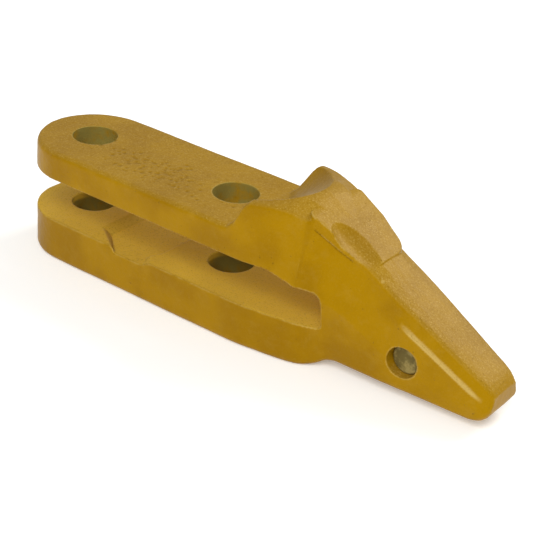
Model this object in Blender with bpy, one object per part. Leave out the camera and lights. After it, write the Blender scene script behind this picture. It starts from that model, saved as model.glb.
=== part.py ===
"""Bolt-on two-strap bucket tooth adapter: the casting, and the pin and retainer in its nose.

Metres, +Z up, +X towards the nose tip. The part stands on the flat bottom of its lower strap:
the origin is at the bottom centre of its box. Run it in Blender 4.5 with
blender --background --python part.py
"""

import math

import bmesh
import bpy
from mathutils import Matrix, Vector

MM = 0.001

# Straps and the lip slot between them
STRAP_WIDTH = 56.0 * MM
TOP_STRAP_THICKNESS = 13.4 * MM
LIP_SLOT_HEIGHT = 20.4 * MM
LOWER_STRAP_THICKNESS = 20.4 * MM
REAR_END_RADIUS = 27.0 * MM
REAR_END_CENTRE_FROM_HOLE = -81.7 * MM
EDGE_RADIUS = 2.5 * MM
EDGE_STEPS = 4
SLOT_END_FROM_HOLE = 63.5 * MM
SLOT_PAD_REAR_FROM_HOLE = 37.0 * MM
SLOT_PAD_FRONT_FROM_HOLE = 50.0 * MM
SLOT_PAD_HEIGHT = 3.8 * MM
SLOT_ROOF_CORNER_RADIUS = 5.0 * MM
SLOT_FLOOR_CORNER_RADIUS = 2.0 * MM

# Bolt holes, one line of two through both straps
BOLT_HOLE_RADIUS = 10.3 * MM
BOLT_HOLE_SPACING = 83.4 * MM

# Everything along X is measured from the front bolt hole
REAR_END_FROM_HOLE = REAR_END_CENTRE_FROM_HOLE - REAR_END_RADIUS
NOSE_TIP_FROM_HOLE = 140.8 * MM
HOLE_X = -(REAR_END_FROM_HOLE + NOSE_TIP_FROM_HOLE) / 2.0

BODY_HEIGHT = TOP_STRAP_THICKNESS + LIP_SLOT_HEIGHT + LOWER_STRAP_THICKNESS
SLOT_FLOOR_Z = LOWER_STRAP_THICKNESS
SLOT_ROOF_Z = LOWER_STRAP_THICKNESS + LIP_SLOT_HEIGHT

# Wrench scoop behind the hump: an oblique cone that leans towards the nose
SCOOP_FLOOR_RADIUS = 23.5 * MM
SCOOP_RIM_RADIUS = 25.8 * MM
SCOOP_RIM_SHIFT = 17.0 * MM
SCOOP_RIM_HEIGHT = 15.5 * MM
SCOOP_OVERSHOOT = 1.6
SCOOP_FLOOR_LIFT = 0.1 * MM

# Seat pads of the lower strap: the face between them is sunk
RECESS_DEPTH = 2.5 * MM
RECESS_OVERSHOOT = 3.0 * MM
# Half of its outline, from rear to front: X and Y of the mouth, X and Y of the floor
RECESS_OUTLINE_MM = (
    (-61.5, 17.0, -57.5, 16.0),
    (-43.5, 30.0, -42.0, 30.0),
    (-22.0, 30.0, -27.0, 30.0),
    (-28.5, 21.5, -31.5, 21.0),
    (-26.5, 16.0, -28.0, 15.0),
)

# Shoulder pad on top of the hump, which the tooth point butts against
PAD_REAR_X = 50.0 * MM
PAD_FRONT_X = 81.0 * MM
PAD_REAR_HALF = 17.2 * MM
PAD_FRONT_HALF = 12.8 * MM
PAD_FRONT_CORNER = 7.0 * MM
PAD_RISE = 2.1 * MM
PAD_THICKNESS = 5.5 * MM

# Long hollow in the near side of the shoulder pad
SCALLOP_CENTRE_X = 74.0 * MM
SCALLOP_CENTRE_Y = -11.6 * MM
SCALLOP_RISE = 8.6 * MM
SCALLOP_RADII = (19.0 * MM, 9.8 * MM, 9.0 * MM)
SCALLOP_TILT = 29.0

# Ledge along both sides of the nose, which runs out before the tip
LEDGE_REAR_FROM_HOLE = 93.0 * MM
LEDGE_REAR_RUN = 7.0 * MM
LEDGE_FRONT_FROM_HOLE = 137.0 * MM
LEDGE_FRONT_RUN = 6.0 * MM
LEDGE_RISE = 0.9 * MM
LEDGE_LEAN = 0.8 * MM
FLANK_TOP_DEPTH = 4.0 * MM

# Cross hole of the nose, with the lock pin and its retainer
CROSS_HOLE_FROM_HOLE = 100.5 * MM
CROSS_HOLE_Z = 18.2 * MM
CROSS_HOLE_RADIUS = 7.0 * MM
PIN_CLEARANCE = 0.08 * MM
PIN_RADIUS = CROSS_HOLE_RADIUS - PIN_CLEARANCE
PIN_NEAR_END_Y = -11.0 * MM
PIN_FAR_END_Y = 13.4 * MM
PIN_CHAMFER = 1.2 * MM
PIN_GROOVE_RADIUS = 6.0 * MM
PIN_GROOVE_HALF_WIDTH = 1.6 * MM
PIN_GROOVE_FLARE = 0.9 * MM
SEAT_RADIUS = 10.0 * MM
SEAT_FLOOR_Y = 6.0 * MM
TOUCH_GAP = 0.3 * MM
RETAINER_WIDTH = 6.0 * MM
RING_WALL = 1.2 * MM
RING_SPLIT = 2.4 * MM
ROUND_SEGMENTS = 64

# Sections of the body along X, each: X from the front bolt hole, height of the bottom,
# half-width low down, at the shoulder and at the top edge, heights of the shoulder, of the
# ledge and of the top edge, and height of the top's centre line. Heights are above the bottom
# of the lower strap.
SECTIONS_MM = (
    (16.5, 0.0, 28.0, 28.0, 28.0, 34.0, 46.0, 54.2, 54.2),
    (20.0, 0.0, 28.0, 28.0, 27.9, 34.0, 50.0, 57.4, 57.8),
    (23.5, 0.0, 27.8, 28.0, 27.4, 34.0, 56.0, 64.8, 66.6),
    (27.0, 0.0, 27.6, 27.8, 26.9, 34.0, 60.0, 68.4, 70.8),
    (36.0, 0.0, 26.4, 26.6, 24.4, 34.0, 60.0, 69.2, 72.0),
    (44.0, 0.0, 25.2, 25.4, 21.8, 34.0, 60.0, 68.6, 72.4),
    (50.0, 0.0, 24.0, 24.5, 20.6, 34.0, 58.0, 66.8, 70.8),
    (54.0, 0.0, 22.6, 23.9, 16.4, 34.0, 56.0, 65.6, 68.2),
    (60.0, 1.2, 19.4, 22.9, 15.0, 34.0, 54.0, 63.2, 64.8),
    (65.0, 4.0, 16.8, 21.6, 14.0, 34.0, 51.5, 60.2, 61.8),
    (70.0, 4.8, 16.0, 20.0, 13.4, 32.0, 48.0, 57.4, 59.0),
    (80.0, 4.8, 15.8, 17.4, 12.9, 26.0, 43.0, 52.0, 53.8),
    (90.0, 4.6, 15.4, 16.0, 13.2, 20.0, 38.0, 46.4, 47.4),
    (105.0, 4.3, 14.2, 14.6, 12.5, 14.0, 30.4, 38.4, 39.0),
    (131.0, 3.7, 12.4, 12.8, 10.9, 10.0, 17.0, 24.1, 24.6),
    (135.0, 4.4, 12.2, 12.5, 10.6, 10.0, 15.0, 22.0, 22.4),
    (138.5, 6.2, 11.7, 11.9, 10.0, 9.6, 13.0, 19.6, 19.9),
    (140.8, 10.0, 10.0, 10.2, 8.8, 11.6, 12.9, 16.8, 17.0),
)
STATION_STEP = 1.75 * MM
REAR_END_STEPS = 14
REAR_END_LAST_ANGLE = 84.0

OBJECT_NAME = "bucket_tooth_adapter"


def clear_scene():
    """Remove every object of the start-up scene."""
    for obj in list(bpy.data.objects):
        bpy.data.objects.remove(obj)


def make_collection(name):
    """Make a collection of the scene."""
    collection = bpy.data.collections.new(name)
    bpy.context.scene.collection.children.link(collection)
    return collection


def make_material(name, colour, roughness, metallic):
    """Make a Principled material."""
    material = bpy.data.materials.new(name)
    material.use_nodes = True
    shader = material.node_tree.nodes["Principled BSDF"]
    shader.inputs["Base Color"].default_value = (*colour, 1.0)
    shader.inputs["Roughness"].default_value = roughness
    shader.inputs["Metallic"].default_value = metallic
    return material


def add_object(name, bm, collection, material=None):
    """Make an object of a bmesh, which is freed."""
    mesh = bpy.data.meshes.new(name)
    bmesh.ops.recalc_face_normals(bm, faces=bm.faces)
    bm.to_mesh(mesh)
    bm.free()
    obj = bpy.data.objects.new(name, mesh)
    collection.objects.link(obj)
    if material:
        mesh.materials.append(material)
    else:
        obj.hide_render = True
        obj.display_type = "WIRE"
    return obj


def add_boolean(obj, cutter, operation="DIFFERENCE"):
    """Cut an object by another, or join the other to it."""
    modifier = obj.modifiers.new(cutter.name, "BOOLEAN")
    modifier.operation = operation
    modifier.solver = "EXACT"
    modifier.object = cutter


def smooth_interpolate(table, column, x):
    """Read a column of a table at x, on a monotone curve through its rows."""
    xs = [row[0] for row in table]
    ys = [row[column] for row in table]
    if x <= xs[0]:
        return ys[0]
    if x >= xs[-1]:
        return ys[-1]
    slopes = [(ys[i + 1] - ys[i]) / (xs[i + 1] - xs[i]) for i in range(len(xs) - 1)]
    i = max(k for k in range(len(xs) - 1) if xs[k] <= x)
    span = xs[i + 1] - xs[i]

    def tangent(k):
        """Slope at row k: the harmonic mean of its neighbours, or flat at a peak."""
        if k in (0, len(xs) - 1):
            return slopes[0] if k == 0 else slopes[-1]
        before, after = slopes[k - 1], slopes[k]
        if before * after <= 0.0:
            return 0.0
        return 2.0 * before * after / (before + after)

    t = (x - xs[i]) / span
    rise = (2 * t**3 - 3 * t**2 + 1) * ys[i] + (3 * t**2 - 2 * t**3) * ys[i + 1]
    bend = (t**3 - 2 * t**2 + t) * tangent(i) + (t**3 - t**2) * tangent(i + 1)
    return rise + bend * span


def section_points(half_low, half_mid, half_top, bottom, shoulder, ledge, edge, crown):
    """List the (y, z) points of one closed section of the body."""
    most = min(EDGE_RADIUS, 0.2 * (edge - bottom))
    radius_low = min(most, 0.4 * half_low)
    radius_top = min(most, 0.4 * half_top)
    turns = [math.radians(90.0 * k / EDGE_STEPS) for k in range(EDGE_STEPS + 1)]
    half = []
    for turn in turns:
        y = half_low - radius_low * (1.0 - math.sin(turn))
        half.append((y, bottom + radius_low * (1.0 - math.cos(turn))))
    half.append((half_mid, shoulder))
    half.append((half_mid + (half_top - half_mid) * ledge[1], ledge[0]))
    half.append((half_top + ledge[3], ledge[0] + ledge[2]))
    for turn in turns:
        y = half_top - radius_top * (1.0 - math.cos(turn))
        half.append((y, edge - radius_top * (1.0 - math.sin(turn))))
    half.append((0.5 * half_top, edge + 0.75 * (crown - edge)))
    right = half + [(0.0, crown)]
    left = [(-y, z) for y, z in reversed(half)]
    return right + left + [(0.0, bottom)]


def ledge_share(along):
    """Tell how far the nose's side ledge stands out at a distance from the front hole."""
    rise = (along - LEDGE_REAR_FROM_HOLE) / LEDGE_REAR_RUN
    fall = (LEDGE_FRONT_FROM_HOLE - along) / LEDGE_FRONT_RUN
    return min(max(min(rise, fall), 0.0), 1.0)


def body_stations():
    """List the body's sections as (x, points), from the rear end to the nose tip."""
    stations = []
    rear_centre = HOLE_X + REAR_END_CENTRE_FROM_HOLE
    top = BODY_HEIGHT
    for step in range(REAR_END_STEPS + 1):
        angle = math.radians(REAR_END_LAST_ANGLE * (1.0 - step / REAR_END_STEPS))
        half = REAR_END_RADIUS * math.cos(angle) + (STRAP_WIDTH / 2.0 - REAR_END_RADIUS)
        x = rear_centre - REAR_END_RADIUS * math.sin(angle)
        ledge = (top - FLANK_TOP_DEPTH, 0.0, 1.0 * MM, 0.0)
        points = section_points(half, half, half, 0.0, 34.0 * MM, ledge, top, top)
        stations.append((x, points))
    first = SECTIONS_MM[0][0] * MM
    last = SECTIONS_MM[-1][0] * MM
    count = math.ceil((last - first) / STATION_STEP)
    for step in range(count + 1):
        along = first + (last - first) * step / count
        row = [smooth_interpolate(SECTIONS_MM, c, along / MM) * MM for c in range(1, 9)]
        bottom, half_low, half_mid, half_top, shoulder, ledge_z, edge, crown = row
        nose_share = ledge_share(along)
        flank_top = edge - min(FLANK_TOP_DEPTH, 0.4 * (edge - ledge_z))
        lean = (ledge_z - shoulder) / (flank_top - shoulder)
        reach = lean * (1.0 - nose_share)
        step_up = (flank_top - ledge_z) * (1.0 - nose_share) + LEDGE_RISE * nose_share
        ledge = (ledge_z, reach, step_up, LEDGE_LEAN * nose_share)
        points = section_points(half_low, half_mid, half_top, bottom, shoulder, ledge, edge,
                                crown)
        stations.append((HOLE_X + along, points))
    return stations


def make_body(collection, material):
    """Loft the casting's outside from its sections."""
    bm = bmesh.new()
    rings = []
    for x, points in body_stations():
        rings.append([bm.verts.new((x, y, z)) for y, z in points])
    for before, after in zip(rings, rings[1:]):
        for k in range(len(before)):
            j = (k + 1) % len(before)
            bm.faces.new((before[k], before[j], after[j], after[k]))
    bmesh.ops.triangulate(bm, faces=bm.faces)
    bm.faces.new(rings[0])
    bm.faces.new(rings[-1])
    return add_object("adapter_casting", bm, collection, material)


def prism(outline, low, high, axis="Z"):
    """Make a bmesh prism of a closed outline, along Z or Y."""
    curve = bpy.data.curves.new("outline", "CURVE")
    curve.dimensions = "2D"
    curve.fill_mode = "BOTH"
    curve.extrude = (high - low) / 2.0
    spline = curve.splines.new("POLY")
    spline.points.add(len(outline) - 1)
    for point, (u, v) in zip(spline.points, outline):
        point.co = (u, v, 0.0, 1.0)
    spline.use_cyclic_u = True
    holder = bpy.data.objects.new("outline", curve)
    bpy.context.scene.collection.objects.link(holder)
    depsgraph = bpy.context.evaluated_depsgraph_get()
    mesh = bpy.data.meshes.new_from_object(holder.evaluated_get(depsgraph))
    bm = bmesh.new()
    bm.from_mesh(mesh)
    bmesh.ops.remove_doubles(bm, verts=bm.verts, dist=0.00001)
    bmesh.ops.translate(bm, verts=bm.verts, vec=(0.0, 0.0, (low + high) / 2.0))
    if axis == "Y":
        bmesh.ops.rotate(bm, verts=bm.verts, matrix=Matrix.Rotation(math.pi / 2, 3, "X"))
    bpy.data.objects.remove(holder)
    bpy.data.curves.remove(curve)
    bpy.data.meshes.remove(mesh)
    return bm


def arc(centre, radius, start, end, steps):
    """List points on an arc, with its angles in degrees."""
    points = []
    for k in range(steps + 1):
        angle = math.radians(start + (end - start) * k / steps)
        points.append((centre[0] + radius * math.cos(angle),
                       centre[1] + radius * math.sin(angle)))
    return points


def make_slot_cutter(collection):
    """Make the lip slot's cutter: narrower at its closed end, with round corners."""
    open_x = HOLE_X + REAR_END_FROM_HOLE - 10.0 * MM
    end_x = HOLE_X + SLOT_END_FROM_HOLE
    roof = SLOT_ROOF_Z - SLOT_PAD_HEIGHT
    low = SLOT_FLOOR_CORNER_RADIUS
    high = SLOT_ROOF_CORNER_RADIUS
    outline = [(open_x, SLOT_FLOOR_Z)]
    outline += arc((end_x - low, SLOT_FLOOR_Z + low), low, -90.0, 0.0, 4)
    outline += arc((end_x - high, roof - high), high, 0.0, 90.0, 6)
    outline += [(HOLE_X + SLOT_PAD_FRONT_FROM_HOLE, roof),
                (HOLE_X + SLOT_PAD_REAR_FROM_HOLE, SLOT_ROOF_Z), (open_x, SLOT_ROOF_Z)]
    bm = prism(outline, -STRAP_WIDTH, STRAP_WIDTH, axis="Y")
    return add_object("lip_slot_cutter", bm, collection)


def make_recess_cutter(collection):
    """Make the cutter of the sunk face between the lower strap's seat pads."""
    mouth = [(HOLE_X + row[0] * MM, row[1] * MM) for row in RECESS_OUTLINE_MM]
    floor = [(HOLE_X + row[2] * MM, row[3] * MM) for row in RECESS_OUTLINE_MM]
    mouth += [(x, -y) for x, y in reversed(mouth)]
    floor += [(x, -y) for x, y in reversed(floor)]
    levels = ((floor, SLOT_FLOOR_Z - RECESS_DEPTH), (mouth, SLOT_FLOOR_Z),
              (mouth, SLOT_FLOOR_Z + RECESS_OVERSHOOT))
    bm = bmesh.new()
    rings = [[bm.verts.new((x, y, z)) for x, y in outline] for outline, z in levels]
    for lower, upper in zip(rings, rings[1:]):
        for k in range(len(lower)):
            j = (k + 1) % len(lower)
            bm.faces.new((lower[k], lower[j], upper[j], upper[k]))
    bmesh.ops.triangulate(bm, faces=bm.faces)
    bm.faces.new(rings[0])
    bm.faces.new(rings[-1])
    return add_object("recess_cutter", bm, collection)


def cylinder(radius, length, centre, axis="Z"):
    """Make a bmesh cylinder along Z or Y."""
    bm = bmesh.new()
    bmesh.ops.create_cone(bm, cap_ends=True, segments=ROUND_SEGMENTS, radius1=radius,
                          radius2=radius, depth=length)
    if axis == "Y":
        bmesh.ops.rotate(bm, verts=bm.verts, matrix=Matrix.Rotation(math.pi / 2, 3, "X"))
    bmesh.ops.translate(bm, verts=bm.verts, vec=centre)
    return bm


def make_bolt_hole_cutters(collection):
    """Make a cutter for each bolt hole, through both straps."""
    cutters = []
    for name, x in (("front", HOLE_X), ("rear", HOLE_X - BOLT_HOLE_SPACING)):
        bm = cylinder(BOLT_HOLE_RADIUS, 2.0 * BODY_HEIGHT, (x, 0.0, BODY_HEIGHT / 2.0))
        cutters.append(add_object(name + "_bolt_hole_cutter", bm, collection))
    return cutters


def make_scoop_cutter(collection):
    """Make the wrench scoop's cutter: a cone sheared towards the nose."""
    height = SCOOP_RIM_HEIGHT * SCOOP_OVERSHOOT
    growth = (SCOOP_RIM_RADIUS - SCOOP_FLOOR_RADIUS) * SCOOP_OVERSHOOT
    shift = SCOOP_RIM_SHIFT * SCOOP_OVERSHOOT
    bm = bmesh.new()
    bmesh.ops.create_cone(bm, cap_ends=True, segments=ROUND_SEGMENTS, depth=height,
                          radius1=SCOOP_FLOOR_RADIUS, radius2=SCOOP_FLOOR_RADIUS + growth)
    floor_z = BODY_HEIGHT + SCOOP_FLOOR_LIFT
    for vert in bm.verts:
        share = vert.co.z / height + 0.5
        vert.co.x += HOLE_X + shift * share
        vert.co.z += floor_z + height / 2.0
    return add_object("wrench_scoop_cutter", bm, collection)


def make_shoulder_pad(collection):
    """Make the raised shoulder pad, whose top follows the hump's slope."""
    rear = HOLE_X + PAD_REAR_X
    front = HOLE_X + PAD_FRONT_X
    r = PAD_FRONT_CORNER
    half = arc((front - r, PAD_FRONT_HALF - r), r, 0.0, 80.0, 6)
    half += [((rear + front) / 2.0, (PAD_REAR_HALF + PAD_FRONT_HALF) / 2.0 + 0.6 * MM)]
    half += arc((rear + 3.0 * MM, PAD_REAR_HALF - 3.0 * MM), 3.0 * MM, 90.0, 180.0, 4)
    outline = half + [(x, -y) for x, y in reversed(half)]
    bm = bmesh.new()
    lower, upper = [], []
    for x, y in outline:
        along = (x - HOLE_X) / MM
        top = smooth_interpolate(SECTIONS_MM, 7, along) * MM + PAD_RISE
        lower.append(bm.verts.new((x, y, top - PAD_THICKNESS)))
        upper.append(bm.verts.new((x, y, top)))
    count = len(outline)
    for k in range(count):
        j = (k + 1) % count
        bm.faces.new((lower[k], lower[j], upper[j], upper[k]))
    for k in range(count // 2 - 1):
        m = count - 1 - k
        bm.faces.new((upper[k], upper[k + 1], upper[m - 1], upper[m]))
        bm.faces.new((lower[m], lower[m - 1], lower[k + 1], lower[k]))
    return add_object("shoulder_pad_form", bm, collection)


def make_scallop_cutter(collection):
    """Make the cutter of the hollow in the near side of the shoulder pad."""
    along = SCALLOP_CENTRE_X / MM
    z = smooth_interpolate(SECTIONS_MM, 7, along) * MM + SCALLOP_RISE
    tilt = Matrix.Rotation(math.radians(SCALLOP_TILT), 3, "Y")
    bm = bmesh.new()
    bmesh.ops.create_uvsphere(bm, u_segments=48, v_segments=24, radius=1.0)
    bmesh.ops.scale(bm, verts=bm.verts, vec=SCALLOP_RADII)
    bmesh.ops.rotate(bm, verts=bm.verts, matrix=tilt)
    place = Vector((HOLE_X + SCALLOP_CENTRE_X, SCALLOP_CENTRE_Y, z))
    bmesh.ops.translate(bm, verts=bm.verts, vec=place)
    return add_object("scallop_cutter", bm, collection)


def make_cross_hole_cutters(collection):
    """Make the cutters of the nose's cross hole and of the retainer's seat."""
    centre = (HOLE_X + CROSS_HOLE_FROM_HOLE, 0.0, CROSS_HOLE_Z)
    hole = cylinder(CROSS_HOLE_RADIUS, 2.0 * STRAP_WIDTH, centre, axis="Y")
    seat_length = STRAP_WIDTH
    seat_centre = (centre[0], SEAT_FLOOR_Y + seat_length / 2.0, centre[2])
    seat = cylinder(SEAT_RADIUS, seat_length, seat_centre, axis="Y")
    return [add_object("cross_hole_cutter", hole, collection),
            add_object("retainer_seat_cutter", seat, collection)]


def turned(profile, hollow):
    """Turn a (radius, y) profile about the Y axis: a ring if hollow, or a solid with end caps."""
    bm = bmesh.new()
    rings = []
    for radius, y in profile:
        ring = []
        for s in range(ROUND_SEGMENTS):
            angle = 2.0 * math.pi * s / ROUND_SEGMENTS
            ring.append(bm.verts.new((radius * math.cos(angle), y, radius * math.sin(angle))))
        rings.append(ring)
    pairs = list(zip(rings, rings[1:]))
    if hollow:
        pairs.append((rings[-1], rings[0]))
    else:
        bm.faces.new(rings[0])
        bm.faces.new(rings[-1])
    for before, after in pairs:
        for s in range(ROUND_SEGMENTS):
            t = (s + 1) % ROUND_SEGMENTS
            bm.faces.new((before[s], before[t], after[t], after[s]))
    return bm


def place_in_cross_hole(obj):
    """Put a turned piece on the axis of the nose's cross hole."""
    obj.location = (HOLE_X + CROSS_HOLE_FROM_HOLE, 0.0, CROSS_HOLE_Z)
    obj.data.shade_smooth()
    obj.data.set_sharp_from_angle(angle=math.radians(30.0))


def make_lock_pin(collection, material):
    """Make the lock pin, with chamfered ends and a groove where the retainer sits."""
    groove_y = SEAT_FLOOR_Y + TOUCH_GAP + RETAINER_WIDTH / 2.0
    groove_half = PIN_GROOVE_HALF_WIDTH
    end_radius = PIN_RADIUS - PIN_CHAMFER
    profile = [
        (end_radius, PIN_NEAR_END_Y),
        (PIN_RADIUS, PIN_NEAR_END_Y + PIN_CHAMFER),
        (PIN_RADIUS, groove_y - groove_half - PIN_GROOVE_FLARE),
        (PIN_GROOVE_RADIUS, groove_y - groove_half),
        (PIN_GROOVE_RADIUS, groove_y + groove_half),
        (PIN_RADIUS, groove_y + groove_half + PIN_GROOVE_FLARE),
        (PIN_RADIUS, PIN_FAR_END_Y - PIN_CHAMFER),
        (end_radius, PIN_FAR_END_Y),
    ]
    obj = add_object("lock_pin", turned(profile, hollow=False), collection, material)
    place_in_cross_hole(obj)


def washer(inner, outer, low, high, chamfer):
    """Turn a washer whose outer corners are chamfered."""
    profile = [(inner, low), (outer - chamfer, low), (outer, low + chamfer),
               (outer, high - chamfer), (outer - chamfer, high), (inner, high)]
    return turned(profile, hollow=True)


def make_retainer(collection, cutter_collection, ring_material, sleeve_material):
    """Make the retainer: a split spring ring inside a rubber sleeve."""
    low = SEAT_FLOOR_Y + TOUCH_GAP
    high = low + RETAINER_WIDTH
    ring_outer = CROSS_HOLE_RADIUS + RING_WALL
    sleeve_inner = ring_outer + TOUCH_GAP
    sleeve_outer = SEAT_RADIUS - TOUCH_GAP
    sleeve = add_object("retainer_sleeve", washer(sleeve_inner, sleeve_outer, low, high, 0.4 * MM),
                        collection, sleeve_material)
    place_in_cross_hole(sleeve)
    ring = add_object("retainer_ring", washer(CROSS_HOLE_RADIUS, ring_outer, low, high, 0.2 * MM),
                      collection, ring_material)
    place_in_cross_hole(ring)
    bm = bmesh.new()
    bmesh.ops.create_cube(bm, size=1.0)
    bmesh.ops.scale(bm, verts=bm.verts, vec=(RING_SPLIT, RETAINER_WIDTH * 2.0, SEAT_RADIUS))
    place = Vector((HOLE_X + CROSS_HOLE_FROM_HOLE, (low + high) / 2.0,
                    CROSS_HOLE_Z + ring_outer))
    bmesh.ops.translate(bm, verts=bm.verts, vec=place)
    add_boolean(ring, add_object("ring_split_cutter", bm, cutter_collection))


def make_casting(collection, cutter_collection, material):
    """Make the adapter casting: the lofted body, its shoulder pad and everything cut from it."""
    body = make_body(collection, material)
    add_boolean(body, make_shoulder_pad(cutter_collection), "UNION")
    cutters = make_bolt_hole_cutters(cutter_collection)
    cutters.append(make_slot_cutter(cutter_collection))
    cutters.append(make_recess_cutter(cutter_collection))
    cutters.append(make_scoop_cutter(cutter_collection))
    cutters.append(make_scallop_cutter(cutter_collection))
    cutters += make_cross_hole_cutters(cutter_collection)
    for cutter in cutters:
        add_boolean(body, cutter)


def main():
    """Model the adapter."""
    clear_scene()
    parts = make_collection(OBJECT_NAME)
    cutters = make_collection(OBJECT_NAME + "_cutters")
    painted_steel = make_material("painted_cast_steel", (0.42, 0.25, 0.03), 0.45, 0.0)
    pin_steel = make_material("pin_steel", (0.23, 0.21, 0.16), 0.5, 0.9)
    spring_steel = make_material("spring_steel", (0.3, 0.3, 0.3), 0.4, 1.0)
    rubber = make_material("rubber", (0.02, 0.02, 0.02), 0.8, 0.0)
    make_casting(parts, cutters, painted_steel)
    make_lock_pin(parts, pin_steel)
    make_retainer(parts, cutters, spring_steel, rubber)


main()
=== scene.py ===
"""Bolt-on bucket tooth adapter: painted casting, lock pin and retainer, in a pale studio.

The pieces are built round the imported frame, in metres, +X towards the nose and +Z up, and
each one rides on one of the frame's bodies.
"""

import logging
import math
from dataclasses import dataclass
from enum import Enum

import bmesh
import bpy
import numpy as np
from mathutils import Matrix, Vector, noise


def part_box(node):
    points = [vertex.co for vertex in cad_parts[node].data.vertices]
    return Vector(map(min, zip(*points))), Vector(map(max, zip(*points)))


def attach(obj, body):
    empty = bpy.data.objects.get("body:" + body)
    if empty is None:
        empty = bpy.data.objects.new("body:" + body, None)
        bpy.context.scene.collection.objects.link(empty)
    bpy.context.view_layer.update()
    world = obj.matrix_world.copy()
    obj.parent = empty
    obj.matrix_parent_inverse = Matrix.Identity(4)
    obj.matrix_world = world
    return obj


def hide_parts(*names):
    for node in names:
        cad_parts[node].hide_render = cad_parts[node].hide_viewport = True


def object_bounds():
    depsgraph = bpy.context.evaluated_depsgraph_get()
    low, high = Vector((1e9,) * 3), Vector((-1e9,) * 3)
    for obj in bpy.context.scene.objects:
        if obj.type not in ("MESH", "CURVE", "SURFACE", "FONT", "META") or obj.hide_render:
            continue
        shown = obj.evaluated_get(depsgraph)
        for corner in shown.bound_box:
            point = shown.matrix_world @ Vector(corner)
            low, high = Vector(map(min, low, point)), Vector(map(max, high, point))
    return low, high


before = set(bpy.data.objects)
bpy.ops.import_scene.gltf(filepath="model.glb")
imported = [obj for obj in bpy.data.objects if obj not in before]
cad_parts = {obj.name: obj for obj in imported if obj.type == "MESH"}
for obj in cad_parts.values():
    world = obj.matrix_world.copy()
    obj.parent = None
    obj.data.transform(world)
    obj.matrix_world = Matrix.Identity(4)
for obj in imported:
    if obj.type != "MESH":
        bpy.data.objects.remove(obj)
cad_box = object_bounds()

MM = 0.001
LOG = logging.getLogger("bucket_tooth_adapter")


class Body(Enum):
    """Bodies of the frame that a piece can ride on."""

    ADAPTER = "adapter"
    PIN = "pin"


class Slot(Enum):
    """Names of the record's material slots; no piece here takes its finish from them."""

    PAINT = "painted_casting"
    PIN = "pin_steel"
    SPRING = "spring_steel"
    RUBBER = "retainer_rubber"


def linear(hex_colour: str) -> tuple[float, float, float, float]:
    """Turn an sRGB hex colour to linear RGBA.

    Args:
        hex_colour: Six hex digits, red first.

    Returns:
        Linear red, green, blue and an alpha of 1.
    """
    parts = [int(hex_colour[i:i + 2], 16) / 255.0 for i in (0, 2, 4)]
    red, green, blue = (c / 12.92 if c <= 0.04045 else ((c + 0.055) / 1.055) ** 2.4
                        for c in parts)
    return red, green, blue, 1.0


def per_mm(size_mm: float) -> float:
    """Texture scale that makes a pattern's cell this many millimetres wide."""
    return 1.0 / (size_mm * MM)


def add_node(tree: bpy.types.NodeTree, kind: str, inputs: dict | None = None,
             **settings: object) -> bpy.types.Node:
    """Add a node with its settings, values and links.

    Args:
        tree: The node tree to add to.
        kind: The node's type name.
        inputs: Value, or output socket to link, of each input by name or index.
        **settings: Properties of the node.

    Returns:
        The new node.
    """
    node = tree.nodes.new(kind)
    for name, value in settings.items():
        setattr(node, name, value)
    for key, value in (inputs or {}).items():
        if isinstance(value, bpy.types.NodeSocket):
            tree.links.new(value, node.inputs[key])
        else:
            node.inputs[key].default_value = value
    return node


def new_material(name: str) -> tuple[bpy.types.Material, bpy.types.NodeTree]:
    """Make an empty node material.

    Args:
        name: The material's name.

    Returns:
        The material and its node tree.
    """
    material = bpy.data.materials.new(name)
    material.use_nodes = True
    material.node_tree.nodes.clear()
    return material, material.node_tree


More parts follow.
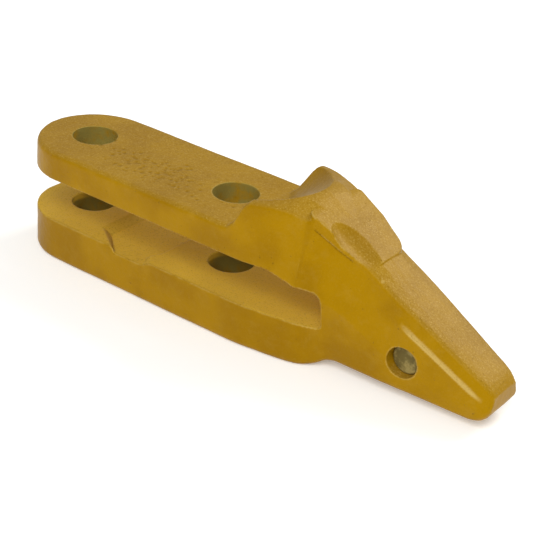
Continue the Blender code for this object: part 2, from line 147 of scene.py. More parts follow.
@dataclass(frozen=True)
class PaintedCastSteel:
    """Semi-gloss alkyd enamel sprayed over as-cast, shot-blasted steel.

    To the eye it is a saturated ochre skin that softens the sand grain under it, thin and darker
    where the spray hardly reached, and pale along its edges, partly from wear and partly as a
    painted highlight. Its colour also carries painted light: a painted sheen on upward faces,
    painted shade in creases, a painted highlight on the nose's ledge and a brighter coat painted
    as light on the lip slot's faces.
    """

    ochre: str = "9C7400"
    deep_ochre: str = "8F6800"
    # Pale ochre for random wear, worn edges and painted highlights on edges and the nose's ledge
    pale_wear_and_highlight: str = "BD9F55"
    thin_coat: str = "84773A"
    # Painted light: a brighter ochre laid on the lip slot's faces to lighten the shade inside it
    slot_painted_light: str = "CCA636"
    # Brown of primer showing at chips, and of the painted shade in creases
    primer_and_shade_brown: str = "5E460C"
    # Partly dust, partly painted sheen: upward faces are laid paler as if they reflected light
    # from above
    dust_and_sheen: str = "A0823C"
    grit_pale: str = "B8984C"
    grit_dark: str = "7C5A04"
    warm_gleam: str = "FFD27A"
    roughness: float = 0.38
    gloss_dip: float = 0.07
    gloss_rise: float = 0.12
    thin_matt: float = 0.25
    specular: float = 0.17
    grain_share: float = 0.35
    chip_share: float = -0.5
    bump_strength: float = 0.6
    bump_height: float = 0.25 * MM
    grit_on_sides: float = 0.08
    grit_on_top: float = 0.6
    # Shares that the casting's mesh carries
    shares: tuple[str, ...] = ("thin_coat", "slot_painted_light", "ledge_highlight", "pitted")
    # Each cloud's name, width of its lumps in mm, detail and harshness
    clouds: tuple[tuple[str, float, float, float], ...] = (
        ("mottle", 22.0, 3.0, 0.5),
        ("streak", 6.0, 4.0, 0.6),
        ("grain", 0.9, 2.0, 0.5),
        ("peel", 2.6, 1.0, 0.5),
        # Real shot-blast specks are about 0.3 mm; drawn 1.7 mm wide so that they show
        ("speck", 1.7, 2.0, 0.65),
        # Real moulding sand leaves 0.3 mm grains; drawn about twice as coarse to show
        ("grit", 0.7, 2.0, 0.7),
    )
    # Each mask's name, what it is made from, where it is 0 and where it is 1
    masks: tuple[tuple[str, str, float, float], ...] = (
        ("deep_patch", "mottle", 0.35, 0.68),
        ("worn_patch", "streak", 0.5, 0.72),
        ("facing_up", "up", 0.35, 0.85),
        ("outer_edge", "sharpness", 0.515, 0.57),
        # Painted shade: the most concave spots are marked for darkening
        ("crevice_shade", "sharpness", 0.485, 0.44),
        ("edge_break", "streak", 0.3, 0.55),
        ("thin_break", "streak", 0.2, 0.6),
        ("pale_grains", "grit", 0.52, 0.72),
        ("dark_grains", "grit", 0.47, 0.28),
        ("chips", "speck", 0.70, 0.76),
    )
    # Each sum's name, what it does, and the two values that it takes
    sums: tuple[tuple[str, str, str, str | float], ...] = (
        ("broken_edge", "MULTIPLY", "outer_edge", "edge_break"),
        # Pale edges are partly wear and partly a painted highlight
        ("edge_wear_and_highlight", "MULTIPLY", "broken_edge", 0.6),
        ("edge_wear_and_ledge_highlight", "ADD", "edge_wear_and_highlight", "ledge_highlight"),
        ("thin_patch", "MULTIPLY", "thin_coat", "thin_break"),
        ("pale_grit", "MULTIPLY", "pale_grains", "grit_shown"),
        ("dark_grit", "MULTIPLY", "dark_grains", "grit_shown"),
        ("matt_patch", "MULTIPLY", "thin_coat", thin_matt),
    )

    def make(self) -> bpy.types.Material:
        """Build the enamel's nodes.

        Returns:
            The material.
        """
        material, tree = new_material("sprayed_enamel_on_cast_steel")
        values = self._values(tree)
        gloss = add_node(tree, "ShaderNodeMapRange",
                         {"Value": values["streak"], "To Min": self.roughness - self.gloss_dip,
                          "To Max": self.roughness + self.gloss_rise})
        rough = add_node(tree, "ShaderNodeMath",
                         {0: gloss.outputs["Result"], 1: values["matt_patch"]},
                         operation="ADD", use_clamp=True)
        skin = add_node(tree, "ShaderNodeMath",
                        {0: values["grain"], 1: self.grain_share, 2: values["peel"]},
                        operation="MULTIPLY_ADD")
        chipped = add_node(tree, "ShaderNodeMath",
                           {0: values["chips"], 1: self.chip_share, 2: skin.outputs[0]},
                           operation="MULTIPLY_ADD")
        bump = add_node(tree, "ShaderNodeBump",
                        {"Height": chipped.outputs[0], "Strength": self.bump_strength,
                         "Distance": self.bump_height})
        shader = add_node(tree, "ShaderNodeBsdfPrincipled",
                          {"Base Color": self._colour(tree, values),
                           "Roughness": rough.outputs[0], "IOR": 1.5,
                           "Specular IOR Level": self.specular,
                           "Specular Tint": linear(self.warm_gleam),
                           "Normal": bump.outputs["Normal"]})
        add_node(tree, "ShaderNodeOutputMaterial", {"Surface": shader.outputs[0]})
        return material

    def _values(self, tree: bpy.types.NodeTree) -> dict[str, bpy.types.NodeSocket]:
        """Make every cloud, mask and sum that the paint is worked out from.

        Args:
            tree: The node tree.

        Returns:
            The output sockets, by name.
        """
        place = add_node(tree, "ShaderNodeTexCoord").outputs["Object"]
        geometry = add_node(tree, "ShaderNodeNewGeometry")
        normal = add_node(tree, "ShaderNodeSeparateXYZ", {0: geometry.outputs["Normal"]})
        values = {"up": normal.outputs["Z"], "sharpness": geometry.outputs["Pointiness"]}
        for name in self.shares:
            share = add_node(tree, "ShaderNodeAttribute", attribute_name=name)
            values[name] = share.outputs["Fac"]
        for name, size_mm, detail, harsh in self.clouds:
            cloud = add_node(tree, "ShaderNodeTexNoise",
                             {"Vector": place, "Scale": per_mm(size_mm), "Detail": detail,
                              "Roughness": harsh})
            values[name] = cloud.outputs["Fac"]
        for name, source, low, high in self.masks:
            mask = add_node(tree, "ShaderNodeMapRange",
                            {"Value": values[source], "From Min": low, "From Max": high},
                            interpolation_type="SMOOTHSTEP")
            values[name] = mask.outputs["Result"]
        shown = add_node(tree, "ShaderNodeMapRange",
                         {"Value": values["facing_up"], "To Min": self.grit_on_sides,
                          "To Max": self.grit_on_top})
        values["grit_shown"] = shown.outputs["Result"]
        for name, operation, first, second in self.sums:
            result = add_node(tree, "ShaderNodeMath",
                              {0: values[first], 1: values.get(second, second)},
                              operation=operation, use_clamp=True)
            values[name] = result.outputs[0]
        return values

    def _colour(self, tree: bpy.types.NodeTree,
                values: dict[str, bpy.types.NodeSocket]) -> bpy.types.NodeSocket:
        """Lay the paint's colours over each other.

        Args:
            tree: The node tree.
            values: The sockets made for this paint, by name.

        Returns:
            The colour.
        """
        layers = (("deep_patch", 1.0, self.deep_ochre),
                  ("worn_patch", 0.06, self.pale_wear_and_highlight),
                  # Partly dust, partly painted sheen: upward faces are laid paler by how much
                  # they face up
                  ("facing_up", 0.25, self.dust_and_sheen),
                  # Pale edges: partly wear, partly painted highlight; plus the painted highlight
                  # on the nose's ledge
                  ("edge_wear_and_ledge_highlight", 1.0, self.pale_wear_and_highlight),
                  # Painted shade: creases are laid darker brown
                  ("crevice_shade", 0.5, self.primer_and_shade_brown),
                  ("thin_patch", 1.0, self.thin_coat),
                  # Painted light: the lip slot's faces are laid brighter against the shade
                  # inside the slot
                  ("slot_painted_light", 1.0, self.slot_painted_light),
                  ("pale_grit", 1.0, self.grit_pale),
                  ("dark_grit", 1.0, self.grit_dark),
                  ("pitted", 0.5, self.grit_dark),
                  ("chips", 0.55, self.primer_and_shade_brown))
        shade = linear(self.ochre)
        for name, strength, colour in layers:
            share = add_node(tree, "ShaderNodeMath", {0: values[name], 1: strength},
                             operation="MULTIPLY", use_clamp=True)
            mix = add_node(tree, "ShaderNodeMix",
                           {0: share.outputs[0], 6: shade, 7: linear(colour)},
                           data_type="RGBA")
            shade = mix.outputs[2]
        return shade


@dataclass(frozen=True)
class ScaledSteel:
    """Medium-carbon steel bar, turned or coiled, then heat-treated.

    To the eye it is a dull grey metal under a mottled olive scale.
    """

    name: str
    bright: str
    scale_colour: str
    mottle_mm: float = 2.2
    pit_mm: float = 0.8
    roughness: float = 0.55
    polish: float = 0.12
    dulling: float = 0.15
    metallic: float = 0.75
    pit_share: float = 0.4
    bump_strength: float = 0.4
    bump_height: float = 0.2 * MM

    def make(self) -> bpy.types.Material:
        """Build the steel's nodes.

        Returns:
            The material.
        """
        material, tree = new_material(self.name)
        place = add_node(tree, "ShaderNodeTexCoord").outputs["Object"]
        mottle = add_node(tree, "ShaderNodeTexNoise",
                          {"Vector": place, "Scale": per_mm(self.mottle_mm), "Detail": 4.0,
                           "Roughness": 0.6}).outputs["Fac"]
        pits = add_node(tree, "ShaderNodeTexVoronoi",
                        {"Vector": place, "Scale": per_mm(self.pit_mm)}).outputs["Distance"]
        share = add_node(tree, "ShaderNodeMapRange",
                         {"Value": mottle, "From Min": 0.38, "From Max": 0.62},
                         interpolation_type="SMOOTHSTEP").outputs["Result"]
        shade = add_node(tree, "ShaderNodeMix",
                         {0: share, 6: linear(self.bright), 7: linear(self.scale_colour)},
                         data_type="RGBA").outputs[2]
        rough = add_node(tree, "ShaderNodeMapRange",
                         {"Value": share, "To Min": self.roughness - self.polish,
                          "To Max": self.roughness + self.dulling}).outputs["Result"]
        height = add_node(tree, "ShaderNodeMath", {0: pits, 1: self.pit_share, 2: mottle},
                          operation="MULTIPLY_ADD").outputs[0]
        bump = add_node(tree, "ShaderNodeBump",
                        {"Height": height, "Strength": self.bump_strength,
                         "Distance": self.bump_height})
        shader = add_node(tree, "ShaderNodeBsdfPrincipled",
                          {"Base Color": shade, "Roughness": rough, "Metallic": self.metallic,
                           "Normal": bump.outputs["Normal"]})
        add_node(tree, "ShaderNodeOutputMaterial", {"Surface": shader.outputs[0]})
        return material


@dataclass(frozen=True)
class MouldedRubber:
    """Black nitrile rubber, compression moulded.

    To the eye it is nearly black and matt, with a faint bloom in soft patches.
    """

    black: str = "1B1A19"
    bloom: str = "34322E"
    patch_mm: float = 3.0
    fine_mm: float = 0.3
    roughness: float = 0.78
    bump_strength: float = 0.2
    bump_height: float = 0.1 * MM

    def make(self) -> bpy.types.Material:
        """Build the rubber's nodes.

        Returns:
            The material.
        """
        material, tree = new_material("moulded_nitrile_rubber")
        place = add_node(tree, "ShaderNodeTexCoord").outputs["Object"]
        patch = add_node(tree, "ShaderNodeTexNoise",
                         {"Vector": place, "Scale": per_mm(self.patch_mm), "Detail": 3.0})
        fine = add_node(tree, "ShaderNodeTexNoise",
                        {"Vector": place, "Scale": per_mm(self.fine_mm)})
        share = add_node(tree, "ShaderNodeMapRange",
                         {"Value": patch.outputs["Fac"], "From Min": 0.4, "From Max": 0.7},
                         interpolation_type="SMOOTHSTEP")
        shade = add_node(tree, "ShaderNodeMix",
                         {0: share.outputs["Result"], 6: linear(self.black),
                          7: linear(self.bloom)},
                         data_type="RGBA")
        bump = add_node(tree, "ShaderNodeBump",
                        {"Height": fine.outputs["Fac"], "Strength": self.bump_strength,
                         "Distance": self.bump_height})
        shader = add_node(tree, "ShaderNodeBsdfPrincipled",
                          {"Base Color": shade.outputs[2], "Roughness": self.roughness,
                           "IOR": 1.52, "Normal": bump.outputs["Normal"]})
        add_node(tree, "ShaderNodeOutputMaterial", {"Surface": shader.outputs[0]})
        return material


def set_piece(piece: bpy.types.Object, body: Body, node: str,
              material: bpy.types.Material) -> None:
    """Dress a piece and let it stand for a node of the frame.

    Args:
        piece: The new object.
        body: The body it rides on.
        node: The frame's node that it replaces.
        material: Its material.
    """
    piece.data.materials.clear()
    piece.data.materials.append(material)
    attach(piece, body.value)
    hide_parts(node)
    LOG.info("%s: %d faces, rides on %s", piece.name, len(piece.data.polygons), body.value)


def link_mesh(name: str, mesh: bpy.types.Mesh) -> bpy.types.Object:
    """Put a mesh in the scene.

    Args:
        name: The new object's name.
        mesh: Its mesh.

    Returns:
        The new object.
    """
    obj = bpy.data.objects.new(name, mesh)
    bpy.context.scene.collection.objects.link(obj)
    return obj


@dataclass
class AdapterCasting:
    """The one-piece casting: straps, lip slot, wrench scoop, hump, shoulder pad and nose."""

    node: str = "adapter_casting"
    weld: float = 0.002 * MM
    cell: float = 0.6 * MM
    octree_depth: int = 9
    mend_rounds: int = 4
    passes: int = 3
    rim_hold: float = 0.2
    crisp_from: float = 46.0 * MM
    crisp_run: float = 4.0 * MM
    crisp_above: float = 10.0 * MM
    rim_reach: float = 3.0 * MM
    # Each layer of the cast skin: width and height of its lumps in mm, and its offset
    skin_layers: tuple[tuple[float, float, float], ...] = (
        (34.0, 0.16, 3.0), (7.0, 0.07, 17.0), (2.0, 0.035, 41.0))
    skin_sink: float = 0.04 * MM
    bolt_radius: float = 10.3 * MM
    bolt_spacing: float = 83.4 * MM
    cross_from_bolt: float = 100.5 * MM
    cross_radius: float = 7.0 * MM
    strap_half: float = 28.0 * MM
    slot_floor: float = 20.4 * MM
    slot_roof: float = 40.8 * MM
    slot_end: float = 64.5 * MM
    pit_seed: int = 11
    pit_count: int = 110
    pit_radii: tuple[float, float] = (0.6 * MM, 1.5 * MM)
    pit_depth: float = 0.35 * MM
    pit_side: float = -7.0 * MM
    pit_spread_x: float = 17.0 * MM
    pit_spread_y: float = 6.0 * MM
    ramp_x: float = -59.5 * MM
    ramp_half: float = 3.2 * MM
    ramp_reach: float = 17.5 * MM
    ledge_along: tuple[float, ...] = (97.0 * MM, 105.0 * MM, 131.0 * MM, 137.0 * MM)
    ledge_height: tuple[float, ...] = (34.5 * MM, 30.4 * MM, 17.0 * MM, 13.9 * MM)
    ledge_rise: float = 0.45 * MM
    ledge_half: float = 0.8 * MM
    ledge_y: float = 9.5 * MM

    def __post_init__(self) -> None:
        """Find the holes from the frame's own box of the lock pin and the given spacings."""
        low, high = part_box("lock_pin")
        self.cross_x = (low[0] + high[0]) / 2.0
        self.cross_z = (low[2] + high[2]) / 2.0
        front_x = self.cross_x - self.cross_from_bolt
        self.bolts_x = (front_x, front_x - self.bolt_spacing)

    def build(self, finish: PaintedCastSteel) -> bpy.types.Object:
        """Build the casting with its cast fillets and sand-cast skin.

        Args:
            finish: The paint on it.

        Returns:
            The finished piece.
        """
        piece = self._remeshed()
        mesh = piece.data
        points = np.empty(len(mesh.vertices) * 3)
        mesh.vertices.foreach_get("co", points)
        points = points.reshape(-1, 3)
        points = self._rounded(mesh, points)
        mesh.vertices.foreach_set("co", points.ravel())
        mesh.update()
        normals = np.empty(len(mesh.vertices) * 3)
        mesh.vertex_normals.foreach_get("vector", normals)
        normals = normals.reshape(-1, 3)
        pits = self._pit_share(points)
        points = self._skinned(points, normals, pits)
        mesh.vertices.foreach_set("co", points.ravel())
        ramp_share = self._ramp_share(points)
        thin_share = np.maximum(self._hole_share(points, normals), 0.6 * ramp_share)
        # The slot's share marks where a brighter coat is painted as light inside the lip slot
        slot_light_share = self._slot_light_share(points, normals) * (1.0 - 0.3 * ramp_share)
        # The nose ledge's share marks a painted highlight along the ledge
        for name, share in (("thin_coat", thin_share), ("slot_painted_light", slot_light_share),
                            ("ledge_highlight", self._ledge_highlight_share(points)), ("pitted", pits)):
            mesh.attributes.new(name, "FLOAT", "POINT").data.foreach_set("value", share)
        mesh.shade_smooth()
        mesh.update()
        set_piece(piece, Body.ADAPTER, self.node, finish.make())
        return piece

    def _remeshed(self) -> bpy.types.Object:
        """Copy the frame's casting into an even, fine mesh."""
        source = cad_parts[self.node]
        mesh = source.data.copy()
        bm = bmesh.new()
        bm.from_mesh(mesh)
        bmesh.ops.remove_doubles(bm, verts=bm.verts, dist=self.weld)
        bm.to_mesh(mesh)
        bm.free()
        rough = link_mesh("casting_blank", mesh)
        rough.matrix_world = source.matrix_world
        modifier = rough.modifiers.new("even", "REMESH")
        modifier.mode = "SHARP"
        modifier.octree_depth = self.octree_depth
        modifier.scale = max(rough.dimensions) / (self.cell * 2 ** self.octree_depth)
        modifier.use_remove_disconnected = False
        depsgraph = bpy.context.evaluated_depsgraph_get()
        even = bpy.data.meshes.new_from_object(rough.evaluated_get(depsgraph))
        even.transform(source.matrix_world)
        self._mend(even)
        bpy.data.objects.remove(rough)
        bpy.data.meshes.remove(mesh)
        return link_mesh("cast_adapter_body", even)

    def _mend(self, mesh: bpy.types.Mesh) -> None:
        """Close the few spots where more than two faces meet at an edge.

        Args:
            mesh: The mesh to mend.
        """
        bm = bmesh.new()
        bm.from_mesh(mesh)
        for _ in range(self.mend_rounds):
            bm.verts.index_update()
            pinched = {vert for edge in bm.edges if not edge.is_manifold for vert in edge.verts}
            if not pinched:
                break
            pinched = sorted(pinched, key=lambda vert: vert.index)
            bmesh.ops.delete(bm, geom=pinched, context="VERTS")
            open_edges = [edge for edge in bm.edges if edge.is_boundary]
            filled = bmesh.ops.holes_fill(bm, edges=open_edges, sides=0)["faces"]
            bmesh.ops.triangulate(bm, faces=filled)
        bmesh.ops.recalc_face_normals(bm, faces=bm.faces)
        LOG.info("edges left open or pinched: %d", sum(not e.is_manifold for e in bm.edges))
        bm.to_mesh(mesh)
        bm.free()

    def _hole_distance(self, points: np.ndarray) -> np.ndarray:
        """Distance of each point from the nearest hole's wall."""
        gaps = [np.abs(np.hypot(points[:, 0] - x, points[:, 1]) - self.bolt_radius)
                for x in self.bolts_x]
        gaps.append(np.abs(np.hypot(points[:, 0] - self.cross_x, points[:, 2] - self.cross_z)
                           - self.cross_radius))
        return np.minimum.reduce(gaps)

    def _rounded(self, mesh: bpy.types.Mesh, points: np.ndarray) -> np.ndarray:
        """Round every edge as a sand casting's are, least at the rims of the holes.

        Args:
            mesh: The mesh, for its edges.
            points: Its points.

        Returns:
            The moved points.
        """
        edges = np.empty(len(mesh.edges) * 2, dtype=np.int64)
        mesh.edges.foreach_get("vertices", edges)
        ends = np.concatenate([edges[0::2], edges[1::2]])
        others = np.concatenate([edges[1::2], edges[0::2]])
        count = len(points)
        degree = np.bincount(ends, minlength=count)
        near = np.clip(self._hole_distance(points) / self.rim_reach, 0.0, 1.0)
        ahead = (points[:, 0] - self.bolts_x[0] - self.crisp_from) / self.crisp_run
        near = near * (1.0 - np.clip(ahead, 0.0, 1.0) * (points[:, 2] > self.crisp_above))
        pull = (0.5 * (self.rim_hold + (1.0 - self.rim_hold) * near))[:, None]
        for _ in range(self.passes):
            mean = np.stack([np.bincount(ends, weights=points[others, k], minlength=count)
                             for k in range(3)], axis=1) / degree[:, None]
            points = points + pull * (mean - points)
        return points

    def _skinned(self, points: np.ndarray, normals: np.ndarray,
                 pits: np.ndarray) -> np.ndarray:
        """Add the waves, lumps and pits of a sand mould, and stay in the frame's box.

        Args:
            points: The mesh's points.
            normals: Their normals.
            pits: How far each point lies in a casting pit.

        Returns:
            The moved points.
        """
        rise = -self.pit_depth * pits
        for size_mm, height_mm, offset in self.skin_layers:
            scale = per_mm(size_mm)
            shift = Vector((offset, offset * 0.7, offset * 1.3))
            rise += height_mm * MM * np.array([noise.noise(Vector(p) * scale + shift)
                                               for p in points])
        low, high = np.array(cad_box[0]), np.array(cad_box[1])
        return np.clip(points + normals * (rise - self.skin_sink)[:, None], low, high)

    def _pit_share(self, points: np.ndarray) -> np.ndarray:
        """Tell how far each point lies in a small casting pit of the top strap's rough middle.

        Args:
            points: The mesh's points.

        Returns:
            A share from 0 to 1 for each point.
        """
        rng = np.random.default_rng(self.pit_seed)
        middle = (self.bolts_x[0] + self.bolts_x[1]) / 2.0
        top = points[:, 2] > self.slot_roof + 10.0 * MM
        share = np.zeros(len(points))
        for _ in range(self.pit_count):
            x = middle + self.pit_spread_x * rng.standard_normal()
            y = self.pit_side + self.pit_spread_y * rng.standard_normal()
            radius = rng.uniform(*self.pit_radii)
            reach = np.hypot(points[:, 0] - x, points[:, 1] - y) / radius
            share = np.maximum(share, np.clip(1.5 - 1.5 * reach, 0.0, 1.0) * top)
        return share

    def _hole_share(self, points: np.ndarray, normals: np.ndarray) -> np.ndarray:
        """Tell how far each point lies on a bolt hole's wall, where the spray is thin.

        Args:
            points: The mesh's points.
            normals: Their normals.

        Returns:
            A share from 0 to 1 for each point.
        """
        share = np.zeros(len(points))
        for x in self.bolts_x:
            reach = np.hypot(points[:, 0] - x, points[:, 1])
            inward = -(normals[:, 0] * (points[:, 0] - x) + normals[:, 1] * points[:, 1])
            inward = np.clip(inward / np.maximum(reach, MM), 0.0, 1.0)
            share = np.maximum(share, inward * (reach < self.bolt_radius + 0.6 * MM))
        return share

    def _ramp_share(self, points: np.ndarray) -> np.ndarray:
        """Tell how far each point lies on the ramp at the recess's rear, which takes the thin
        coat's grey.

        Args:
            points: The mesh's points.

        Returns:
            A share from 0 to 1 for each point.
        """
        along = np.abs(points[:, 0] - self.bolts_x[0] - self.ramp_x)
        near = np.clip((self.ramp_half - along) / (0.8 * MM), 0.0, 1.0)
        level = np.abs(points[:, 2] - self.slot_floor + 1.5 * MM) < 2.2 * MM
        inside = np.abs(points[:, 1]) < self.ramp_reach
        return near * level * inside

    def _ledge_highlight_share(self, points: np.ndarray) -> np.ndarray:
        """Tell how far each point lies on the nose's side ledge, where a pale highlight is
        painted.

        Args:
            points: The mesh's points.

        Returns:
            A share from 0 to 1 for each point.
        """
        along = points[:, 0] - self.bolts_x[0]
        level = np.interp(along, self.ledge_along, self.ledge_height)
        above = np.abs(points[:, 2] - level - self.ledge_rise)
        near = np.clip(1.4 - above / self.ledge_half, 0.0, 1.0)
        start = np.clip((along - self.ledge_along[0]) / (6.0 * MM), 0.0, 1.0)
        end = np.clip((self.ledge_along[-1] - along) / (4.0 * MM), 0.0, 1.0)
        side = np.clip((np.abs(points[:, 1]) - self.ledge_y) / MM, 0.0, 1.0)
        return near * start * end * side

    def _slot_light_share(self, points: np.ndarray, normals: np.ndarray) -> np.ndarray:
        """Tell how far each point lies on the lip slot's faces, which get a brighter coat
        painted as light against their shade.

        Args:
            points: The mesh's points.
            normals: Their normals.

        Returns:
            A share from 0 to 1 for each point.
        """
        z = points[:, 2]
        level = np.clip((self.slot_roof + 0.5 * MM - z) / MM, 0.0, 1.0)
        level *= np.clip((z - self.slot_floor + 3.5 * MM) / MM, 0.0, 1.0)
        level *= points[:, 0] < self.bolts_x[0] + self.slot_end
        side = np.clip((self.strap_half - np.abs(points[:, 1])) / (1.5 * MM), 0.0, 1.0)
        inner = np.clip(1.3 - 1.6 * np.abs(normals[:, 1]), 0.0, 1.0)
        return level * side * inner


def turned_mesh(name: str, profile: list[tuple[float, float]], start: float, sweep: float,
                steps: int, hollow: bool) -> bpy.types.Mesh:
    """Turn a (radius, y) profile about the Y axis.

    Args:
        name: The mesh's name.
        profile: The section's points.
        start: Where the turn starts, in radians.
        sweep: How far it goes; a full turn closes on itself.
        steps: Faces round the turn.
        hollow: True for a closed section, False for a bar whose ends are discs.

    Returns:
        The mesh.
    """
    bm = bmesh.new()
    full = sweep > 2.0 * math.pi - 0.001
    columns = []
    for k in range(steps if full else steps + 1):
        angle = start + sweep * k / steps
        columns.append([bm.verts.new((r * math.cos(angle), y, r * math.sin(angle)))
                        for r, y in profile])
    pairs = list(zip(columns, columns[1:]))
    if full:
        pairs.append((columns[-1], columns[0]))
    count = len(profile)
    for before, after in pairs:
        for j in range(count if hollow else count - 1):
            n = (j + 1) % count
            bm.faces.new((before[j], before[n], after[n], after[j]))
    if not full:
        bm.faces.new(columns[0])
        bm.faces.new(columns[-1])
    if not hollow:
        bm.faces.new([column[0] for column in columns])
        bm.faces.new([column[-1] for column in columns])
    bmesh.ops.recalc_face_normals(bm, faces=bm.faces)
    mesh = bpy.data.meshes.new(name)
    bm.to_mesh(mesh)
    bm.free()
    return mesh


@dataclass
class LockPin:
    """The headless pin that crosses the nose and holds the tooth point."""

    node: str = "lock_pin"
    radius: float = 6.92 * MM
    chamfer: float = 1.2 * MM
    groove_radius: float = 6.0 * MM
    groove_y: float = 9.3 * MM
    groove_half: float = 1.6 * MM
    groove_flare: float = 0.9 * MM
    dent: float = 0.28 * MM
    rings: int = 9
    steps: int = 96

    def build(self, finish: ScaledSteel) -> bpy.types.Object:
        """Build the pin with hammered ends.

        Args:
            finish: The steel it is made of.

        Returns:
            The finished piece.
        """
        low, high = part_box(self.node)
        near, far = low[1], high[1]
        chamfer, reach = self.chamfer, self.radius - self.chamfer
        face = [reach * k / self.rings for k in range(1, self.rings + 1)]
        round_off = [(self.radius - chamfer * (1.0 - math.sin(a)), chamfer * (1.0 - math.cos(a)))
                     for a in (math.radians(15.0 * k) for k in range(1, 7))]
        profile = [(r, near) for r in face]
        profile += [(r, near + d) for r, d in round_off]
        profile += [(self.radius, self.groove_y - self.groove_half - self.groove_flare),
                    (self.groove_radius, self.groove_y - self.groove_half),
                    (self.groove_radius, self.groove_y + self.groove_half),
                    (self.radius, self.groove_y + self.groove_half + self.groove_flare)]
        profile += [(r, far - d) for r, d in reversed(round_off)]
        profile += [(r, far) for r in reversed(face)]
        mesh = turned_mesh(self.node, profile, 0.0, 2.0 * math.pi, self.steps, hollow=False)
        for vert in mesh.vertices:
            share = max(0.0, 1.0 - math.hypot(vert.co.x, vert.co.z) / self.radius)
            lump = 0.5 + 0.5 * noise.noise(vert.co * per_mm(3.0))
            ends = {near: 1.0, far: -1.0}
            for y, way in ends.items():
                if abs(vert.co.y - y) < 0.01 * MM:
                    vert.co.y += way * self.dent * lump * min(1.0, 3.0 * share)
        mesh.transform(Matrix.Translation(((low[0] + high[0]) / 2.0, 0.0,
                                           (low[2] + high[2]) / 2.0)))
        mesh.shade_smooth()
        mesh.set_sharp_from_angle(angle=math.radians(40.0))
        piece = link_mesh("headless_lock_pin", mesh)
        set_piece(piece, Body.PIN, self.node, finish.make())
        return piece


@dataclass
class Retainer:
    """The pin's retainer in the far side of the nose: split spring ring and rubber sleeve."""

    ring_node: str = "retainer_ring"
    sleeve_node: str = "retainer_sleeve"
    ring_inner: float = 7.0 * MM
    ring_outer: float = 8.2 * MM
    ring_split: float = 2.4 * MM
    sleeve_inner: float = 8.5 * MM
    sleeve_outer: float = 9.7 * MM
    steps: int = 96

    def build(self, steel: ScaledSteel, rubber: MouldedRubber) -> None:
        """Build both rings of the retainer.

        Args:
            steel: The spring's finish.
            rubber: The sleeve's finish.
        """
        gap = 2.0 * math.asin(0.5 * self.ring_split / self.ring_inner)
        start = math.pi / 2.0 + gap / 2.0
        ring = self._band(self.ring_node, self.ring_inner, self.ring_outer, 0.25 * MM, start,
                          2.0 * math.pi - gap)
        set_piece(link_mesh("split_spring_ring", ring), Body.ADAPTER, self.ring_node,
                  steel.make())
        sleeve = self._band(self.sleeve_node, self.sleeve_inner, self.sleeve_outer, 0.45 * MM,
                            0.0, 2.0 * math.pi)
        set_piece(link_mesh("rubber_sleeve", sleeve), Body.ADAPTER, self.sleeve_node,
                  rubber.make())

    def _band(self, node: str, inner: float, outer: float, corner: float, start: float,
              sweep: float) -> bpy.types.Mesh:
        """Turn a band with rounded corners where the frame's node is.

        Args:
            node: The frame's node.
            inner: The band's inner radius.
            outer: Its outer radius.
            corner: The radius of its section's corners.
            start: Where the turn starts, in radians.
            sweep: How far it goes.

        Returns:
            The mesh.
        """
        low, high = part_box(node)
        centres = ((outer - corner, high[1] - corner, 0.0),
                   (inner + corner, high[1] - corner, 90.0),
                   (inner + corner, low[1] + corner, 180.0),
                   (outer - corner, low[1] + corner, 270.0))
        profile = []
        for r, y, first in centres:
            for k in range(5):
                a = math.radians(first + 22.5 * k)
                profile.append((r + corner * math.cos(a), y + corner * math.sin(a)))
        mesh = turned_mesh(node, profile, start, sweep, self.steps, hollow=True)
        pin_low, pin_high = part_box("lock_pin")
        mesh.transform(Matrix.Translation(((pin_low[0] + pin_high[0]) / 2.0, 0.0,
                                           (pin_low[2] + pin_high[2]) / 2.0)))
        mesh.shade_smooth()
        mesh.set_sharp_from_angle(angle=math.radians(50.0))
        return mesh


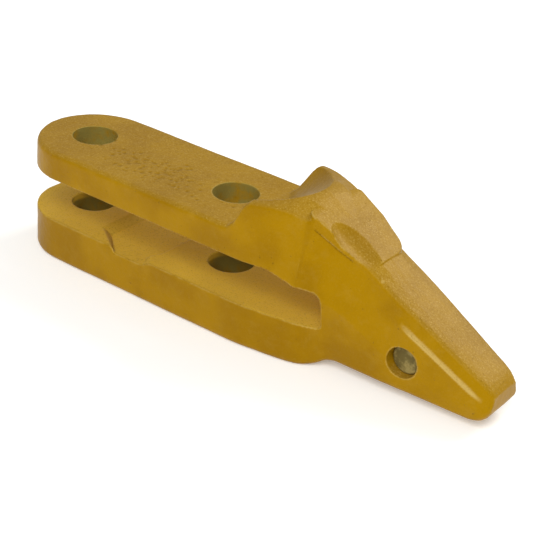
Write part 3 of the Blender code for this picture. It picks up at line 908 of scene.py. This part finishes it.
@dataclass
class Studio:
    """A pale floor, an even sky, two softboxes and the camera."""

    floor_half: float = 3.0
    floor_white: str = "F6F6F4"
    floor_glow: float = 0.25
    sky_strength: float = 0.42
    camera_place: tuple[float, float, float] = (0.3286, -0.4583, 0.3307)
    azimuth: float = 34.95
    elevation: float = 28.83
    roll: float = 4.98
    lens: float = 95.96
    sensor: float = 36.0

    def build(self) -> None:
        """Set up the floor, the sky, the lights and the camera."""
        self._floor()
        self._sky()
        self._light("front_softbox", (0.4, -1.05, 1.1), 0.9, 16.5)
        self._light("back_softbox", (0.33, 0.95, 0.85), 0.7, 10.0)
        self._camera()

    def _floor(self) -> None:
        """Lay the floor just under the part."""
        half = self.floor_half
        bm = bmesh.new()
        bmesh.ops.create_grid(bm, x_segments=1, y_segments=1, size=half)
        mesh = bpy.data.meshes.new("floor")
        bm.to_mesh(mesh)
        bm.free()
        floor = link_mesh("floor", mesh)
        floor.location.z = -0.05 * MM
        material, tree = new_material("white_seamless_paper")
        shader = add_node(tree, "ShaderNodeBsdfPrincipled",
                          {"Base Color": linear(self.floor_white), "Roughness": 0.9,
                           "Specular IOR Level": 0.0,
                           "Emission Color": linear(self.floor_white),
                           "Emission Strength": self.floor_glow})
        add_node(tree, "ShaderNodeOutputMaterial", {"Surface": shader.outputs[0]})
        floor.data.materials.append(material)

    def _sky(self) -> None:
        """Make the even sky and keep the colours as saturated as the paint's."""
        world = bpy.data.worlds.new("studio_sky")
        bpy.context.scene.world = world
        bpy.context.scene.view_settings.view_transform = "Standard"
        world.use_nodes = True
        tree = world.node_tree
        tree.nodes.clear()
        glow = add_node(tree, "ShaderNodeBackground",
                        {"Color": (1.0, 1.0, 1.0, 1.0), "Strength": self.sky_strength})
        add_node(tree, "ShaderNodeOutputWorld", {"Surface": glow.outputs[0]})

    def _light(self, name: str, place: tuple[float, float, float], size: float,
               power: float) -> None:
        """Hang a square softbox that faces the part.

        Args:
            name: The light's name.
            place: Where it hangs.
            size: The length of its side.
            power: Its power in watts.
        """
        light = bpy.data.lights.new(name, "AREA")
        light.size = size
        light.energy = power
        holder = bpy.data.objects.new(name, light)
        holder.location = place
        holder.rotation_euler = (-Vector(place)).to_track_quat("-Z", "Y").to_euler()
        bpy.context.scene.collection.objects.link(holder)

    def _camera(self) -> None:
        """Stand the camera and make it the scene's own."""
        azimuth, elevation, roll = (math.radians(a) for a in
                                    (self.azimuth, self.elevation, self.roll))
        forward = -Vector((math.sin(azimuth) * math.cos(elevation),
                           -math.cos(azimuth) * math.cos(elevation), math.sin(elevation)))
        right = forward.cross(Vector((0.0, 0.0, 1.0))).normalized()
        up = right.cross(forward)
        across = math.cos(roll) * right + math.sin(roll) * up
        above = math.cos(roll) * up - math.sin(roll) * right
        turn = Matrix((across, above, -forward)).transposed().to_4x4()
        camera = bpy.data.cameras.new("camera")
        camera.lens = self.lens
        camera.sensor_width = self.sensor
        camera.clip_start = 0.01
        holder = bpy.data.objects.new("camera", camera)
        holder.matrix_world = Matrix.Translation(self.camera_place) @ turn
        bpy.context.scene.collection.objects.link(holder)
        bpy.context.scene.camera = holder


def main() -> None:
    """Build the adapter's pieces and the studio round them."""
    logging.basicConfig(level=logging.INFO, format="%(name)s: %(message)s")
    AdapterCasting().build(PaintedCastSteel())
    pin_steel = ScaledSteel(name="heat_treated_pin_steel", bright="A08F52",
                            scale_colour="6C5E2C", mottle_mm=4.5, roughness=0.6, metallic=0.35)
    LockPin().build(pin_steel)
    spring_steel = ScaledSteel(name="blued_spring_steel", bright="6E7276",
                               scale_colour="34383F", roughness=0.4, metallic=1.0)
    Retainer().build(spring_steel, MouldedRubber())
    Studio().build()


if __name__ == "__main__":
    main()
